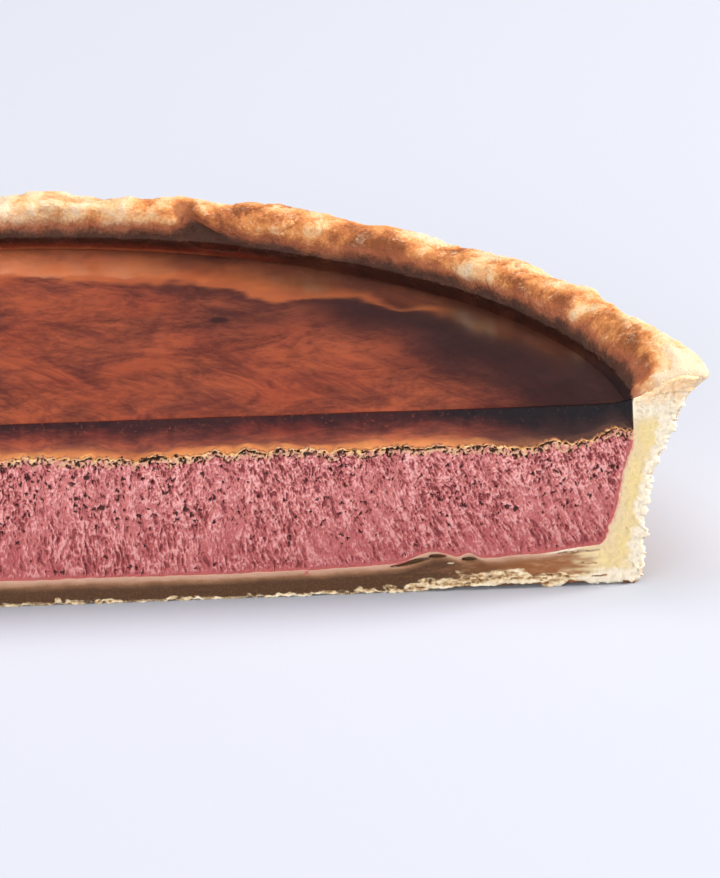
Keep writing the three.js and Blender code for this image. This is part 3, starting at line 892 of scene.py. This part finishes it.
PINK = (0.47, 0.138, 0.134)
DEEP_PINK = (0.35, 0.068, 0.070)
PALE_PINK_AND_HIGHLIGHT = (0.74, 0.385, 0.37)
DARK_PINK_AND_SHADE = (0.18, 0.026, 0.030)
RIND_PINK = (0.45, 0.10, 0.098)
PIT_SHADE_RED = (0.065, 0.016, 0.017)
FOAM_CREAM = (0.62, 0.39, 0.23)
FOAM_HOLE_SHADE = (0.055, 0.024, 0.012)
LINE_GOLD = (0.78, 0.50, 0.24)
LINE_BROWN = (0.58, 0.28, 0.09)
parfait_material, start = new_material("liver parfait")
speckle = start.grain(0.0003, 3, 0.65, stretch=(0.8, 1, 1.2))
cloud = start.grain(0.006, 3, 0.5)
mix = (start.mask("rise") + 0.9 * (cloud - 0.5) + 0.6 * (speckle - 0.5)).clip(-0.1, 0.85)
colour = start.blend(mix, DEEP_PINK, PINK)
# The ridges are painted paler and the valleys between them darker: partly the crumb's own colour, partly a
# painted highlight on the ridges and painted shade in the valleys.
ridges = 1.4 * start.mask("ridge") + 1.6 * (speckle - 0.5)
colour = start.blend((0.45 + 0.4 * start.mask("rise")) * ridges.clip(0.0, 0.95), colour, PALE_PINK_AND_HIGHLIGHT)
colour = start.blend(0.9 * (0 - ridges).clip(0.15, 0.9), colour, DARK_PINK_AND_SHADE)
colour = start.blend(0.6 * (start.mask("rind") + 0.5 * (speckle - 0.5)).clip(0.1, 1), colour, RIND_PINK)
crumbs = start.blend(start.grain(0.0007, 3, 0.6).clip(0.35, 0.7), FOAM_CREAM, colour)
colour = start.blend((start.mask("skin") + 0.5 * (speckle - 0.5)).clip(0.2, 0.9), colour, crumbs)
line = start.blend(start.grain(0.0009, 3, 0.6).clip(0.4, 0.65), LINE_GOLD, LINE_BROWN)
colour = start.blend(start.mask("gold").clip(0.3, 0.7), colour, line)
# Painted shade: the pores and the holes of the foam are painted near black.
hole = start.blend(start.mask("skin"), PIT_SHADE_RED, FOAM_HOLE_SHADE)
colour = start.blend(start.mask("pit").clip(0.02, 0.6), colour, hole)
moist = start.bump(speckle, 0.0003)
start.finish(
    Base_Color=colour,
    Roughness=(0.3 + 0.3 * speckle) + 0.4 * start.mask("pit"),
    Normal=moist,
    Specular_IOR_Level=0.4,
    Subsurface_Weight=0.05,
    Subsurface_Scale=0.0005,
    Subsurface_Radius=(1.0, 0.4, 0.35),
)
for part in range(FACE_PARTS):
    first = 2 * part / FACE_PARTS - 1
    points, masks = parfait_cut(np.linspace(first, first + 2 / FACE_PARTS, FACE_COLUMNS))
    high, low = len(points) - 2, len(points) - 1
    fan = [(row, row + 1, low if row < high // 2 else high) for row in range(high - 1)]
    parfait_face = grid_piece(f"parfait_cut_{part + 1}", points, masks, [*fan, (high // 2, high, low)])
    parfait_face.data.set_sharp_from_angle(angle=np.radians(75))
    parfait_face.data.materials.append(parfait_material)
    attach(parfait_face, "root")
    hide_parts("parfait")

# Jelly. Clear amber jelly poured over the cold parfait and set level; it climbs the crust by less than a
# millimetre. Its underside and edge reach just into the skin and the crust, so that no air shows.
JELLY_COLUMNS = 360
JELLY_REACH = JELLY_RADIUS + 0.7
JELLY_CLIMB, JELLY_CLIMB_WIDTH = 0.9, 2.4
JELLY_INSET = 0.12
EDGE_ROUNDING = 0.16
OVERLAP = 0.5


def jelly_top(x, y):
    """Height of the jelly: level, with a climb at the crust that falls off as e^(-distance / width)."""
    gap = np.maximum(JELLY_RADIUS + 0.5 - np.hypot(x, y), 0)
    return JELLY_LEVEL + JELLY_CLIMB * np.exp(-gap / JELLY_CLIMB_WIDTH)


along = np.linspace(-1, 1, JELLY_COLUMNS)
turn = (1 - along) * np.pi / 2
edge_x = along * JELLY_REACH
foot = skin_top(edge_x, BODY_RECESS) - OVERLAP
brow = jelly_top(edge_x, 0)
rise = np.linspace(0, 1, 9)[:, None]
height = foot + rise * (brow - EDGE_ROUNDING - foot)
wavy = 0.05 * noise(edge_x / 7, height / 6, 0.4, 70)
cut_rows = np.stack(np.broadcast_arrays(edge_x, JELLY_INSET + wavy, height), axis=-1)
bend = np.linspace(0, np.pi / 2, 5)[1:, None]
edge_y = JELLY_INSET + wavy[-1] + EDGE_ROUNDING * (1 - np.cos(bend))
edge_z = brow - EDGE_ROUNDING * (1 - np.sin(bend))
edge_rows = np.stack(np.broadcast_arrays(edge_x, edge_y, edge_z), axis=-1)
rim_arc = round_axis(JELLY_REACH, 0, turn)
top_rows = across(edge_rows[-1] * (1, 1, 0), rim_arc, two_paces(0.9, 24, 12, 0.02))
top_rows[..., 2] = jelly_top(top_rows[..., 0], top_rows[..., 1])
bottom_rows = across(cut_rows[0] * (1, 1, 0), rim_arc, np.linspace(1, 0, 40)[:-1])
bottom_rows[..., 2] = skin_top(bottom_rows[..., 0], np.maximum(bottom_rows[..., 1], BODY_RECESS)) - OVERLAP
# Painted shade on the cut face of the jelly: darker towards its top, in clouds, and darker at the right end;
# the top and the underside are clear.
clouds = 0.8 * noise(edge_x / 4, height / 3, 0.4, 71) + 0.4 * noise(edge_x / 1.5, height / 1.5, 0.4, 72)
deep = ramp(height - foot - OVERLAP + clouds + ramp(edge_x, 72, 97), 1.1, 5.4)
jelly_shade_edge = deep[-1] * np.cos(bend)
clear = np.zeros((len(top_rows) + len(bottom_rows), JELLY_COLUMNS))
jelly_points = np.concatenate([cut_rows, edge_rows, top_rows, bottom_rows])
dull = ramp(np.hypot(jelly_points[..., 0], jelly_points[..., 1]), 72, 90) * ramp(jelly_points[..., 1], 2, 12)
jelly_masks = {"deep": np.concatenate([deep, jelly_shade_edge, clear]), "dull": dull}
jelly = grid_piece("jelly_layer", jelly_points, jelly_masks, [range(len(jelly_points))])

AMBER = (0.97, 0.74, 0.60)
SHADED_AMBER = (0.045, 0.052, 0.075)
SMOKE = (0.56, 0.05, 0.25)
SMOKE_DENSITY = 100.0
jelly_material, start = new_material("amber jelly")
specks = start.grain(0.0006, 2, 0.5).clip(0.62, 0.72)
# Painted shade: the cut face's colour goes to the shaded amber by that mask, a little lighter in small
# specks.
colour = start.blend(start.mask("deep") * (1 - 0.4 * specks), AMBER, SHADED_AMBER)
glaze = 0.015 + 0.12 * start.mask("dull")
output = start.finish(Base_Color=colour, Roughness=glaze, IOR=1.36, Transmission_Weight=1.0)
absorption = start.node("VolumeAbsorption", None, {"Color": (*SMOKE, 1), "Density": SMOKE_DENSITY})
start.tree.links.new(absorption.socket, output.inputs["Volume"])
jelly.data.materials.append(jelly_material)
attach(jelly, "root")
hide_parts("jelly")

# Stage. A pale floor, a large soft light low on the right, a weaker one above, a broad fill from the front
# and a dim room, with the camera low in front of the cut.
FLOOR_SIZE = 8.0
FLOOR_COLOUR = (0.336, 0.355, 0.412)
LIGHT_TARGET = Vector((0.02, -0.02, 0.02))
WARM_WHITE, SOFT_WHITE = (1.0, 0.96, 0.9), (1.0, 0.98, 0.96)
ROOM_COLOUR, ROOM_STRENGTH = (0.85, 0.85, 0.9, 1), 0.1
CAMERA_DISTANCE = 0.8
CAMERA_AZIMUTH, CAMERA_ELEVATION = np.radians(-5.91), np.radians(19.31)
CAMERA_TARGET = Vector((AXIS_X + 55.58, CUT_Y, 26.94)) * MM
CAMERA_LENS = 201.9

floor_mesh = bpy.data.meshes.new("floor")
side = FLOOR_SIZE / 2
floor_corners = [(-side, -side, 0), (side, -side, 0), (side, side, 0), (-side, side, 0)]
floor_mesh.from_pydata(floor_corners, [], [(0, 1, 2, 3)])
floor = bpy.data.objects.new("floor", floor_mesh)
bpy.context.scene.collection.objects.link(floor)
floor_material, start = new_material("pale floor")
start.finish(Base_Color=(*FLOOR_COLOUR, 1), Roughness=0.8)
floor_mesh.materials.append(floor_material)


def soft_light(name, place, size, power, colour, mirrored=True):
    """Oblong area light at a place, in metres, turned to the tart, whose gloss may mirror it."""
    data = bpy.data.lights.new(name, "AREA")
    data.shape = "RECTANGLE"
    data.size, data.size_y = size
    data.energy = power
    data.color = colour
    light = bpy.data.objects.new(name, data)
    light.location = place
    light.rotation_euler = (LIGHT_TARGET - light.location).to_track_quat("-Z", "Y").to_euler()
    light.visible_camera = False
    light.visible_glossy = mirrored
    bpy.context.scene.collection.objects.link(light)


soft_light("window", (1.94, 0.14, 1.03), (0.9, 0.7), 108, WARM_WHITE)
soft_light("ceiling", (-0.25, 0.2, 1.7), (1.6, 1.4), 42, SOFT_WHITE, mirrored=False)
soft_light("front fill", (-0.9, -1.93, 0.57), (1.8, 1.0), 63, SOFT_WHITE)

world = bpy.data.worlds.new("dim room")
world.use_nodes = True
world.node_tree.nodes["Background"].inputs["Color"].default_value = ROOM_COLOUR
world.node_tree.nodes["Background"].inputs["Strength"].default_value = ROOM_STRENGTH
bpy.context.scene.world = world
bpy.context.scene.view_settings.view_transform = "Standard"

away = Vector((
    np.sin(CAMERA_AZIMUTH) * np.cos(CAMERA_ELEVATION),
    -np.cos(CAMERA_AZIMUTH) * np.cos(CAMERA_ELEVATION),
    np.sin(CAMERA_ELEVATION),
))
camera_data = bpy.data.cameras.new("camera")
camera_data.lens = CAMERA_LENS
camera = bpy.data.objects.new("camera", camera_data)
camera.location = CAMERA_TARGET + away * CAMERA_DISTANCE
camera.rotation_euler = away.to_track_quat("Z", "Y").to_euler()
bpy.context.scene.collection.objects.link(camera)
bpy.context.scene.camera = camera
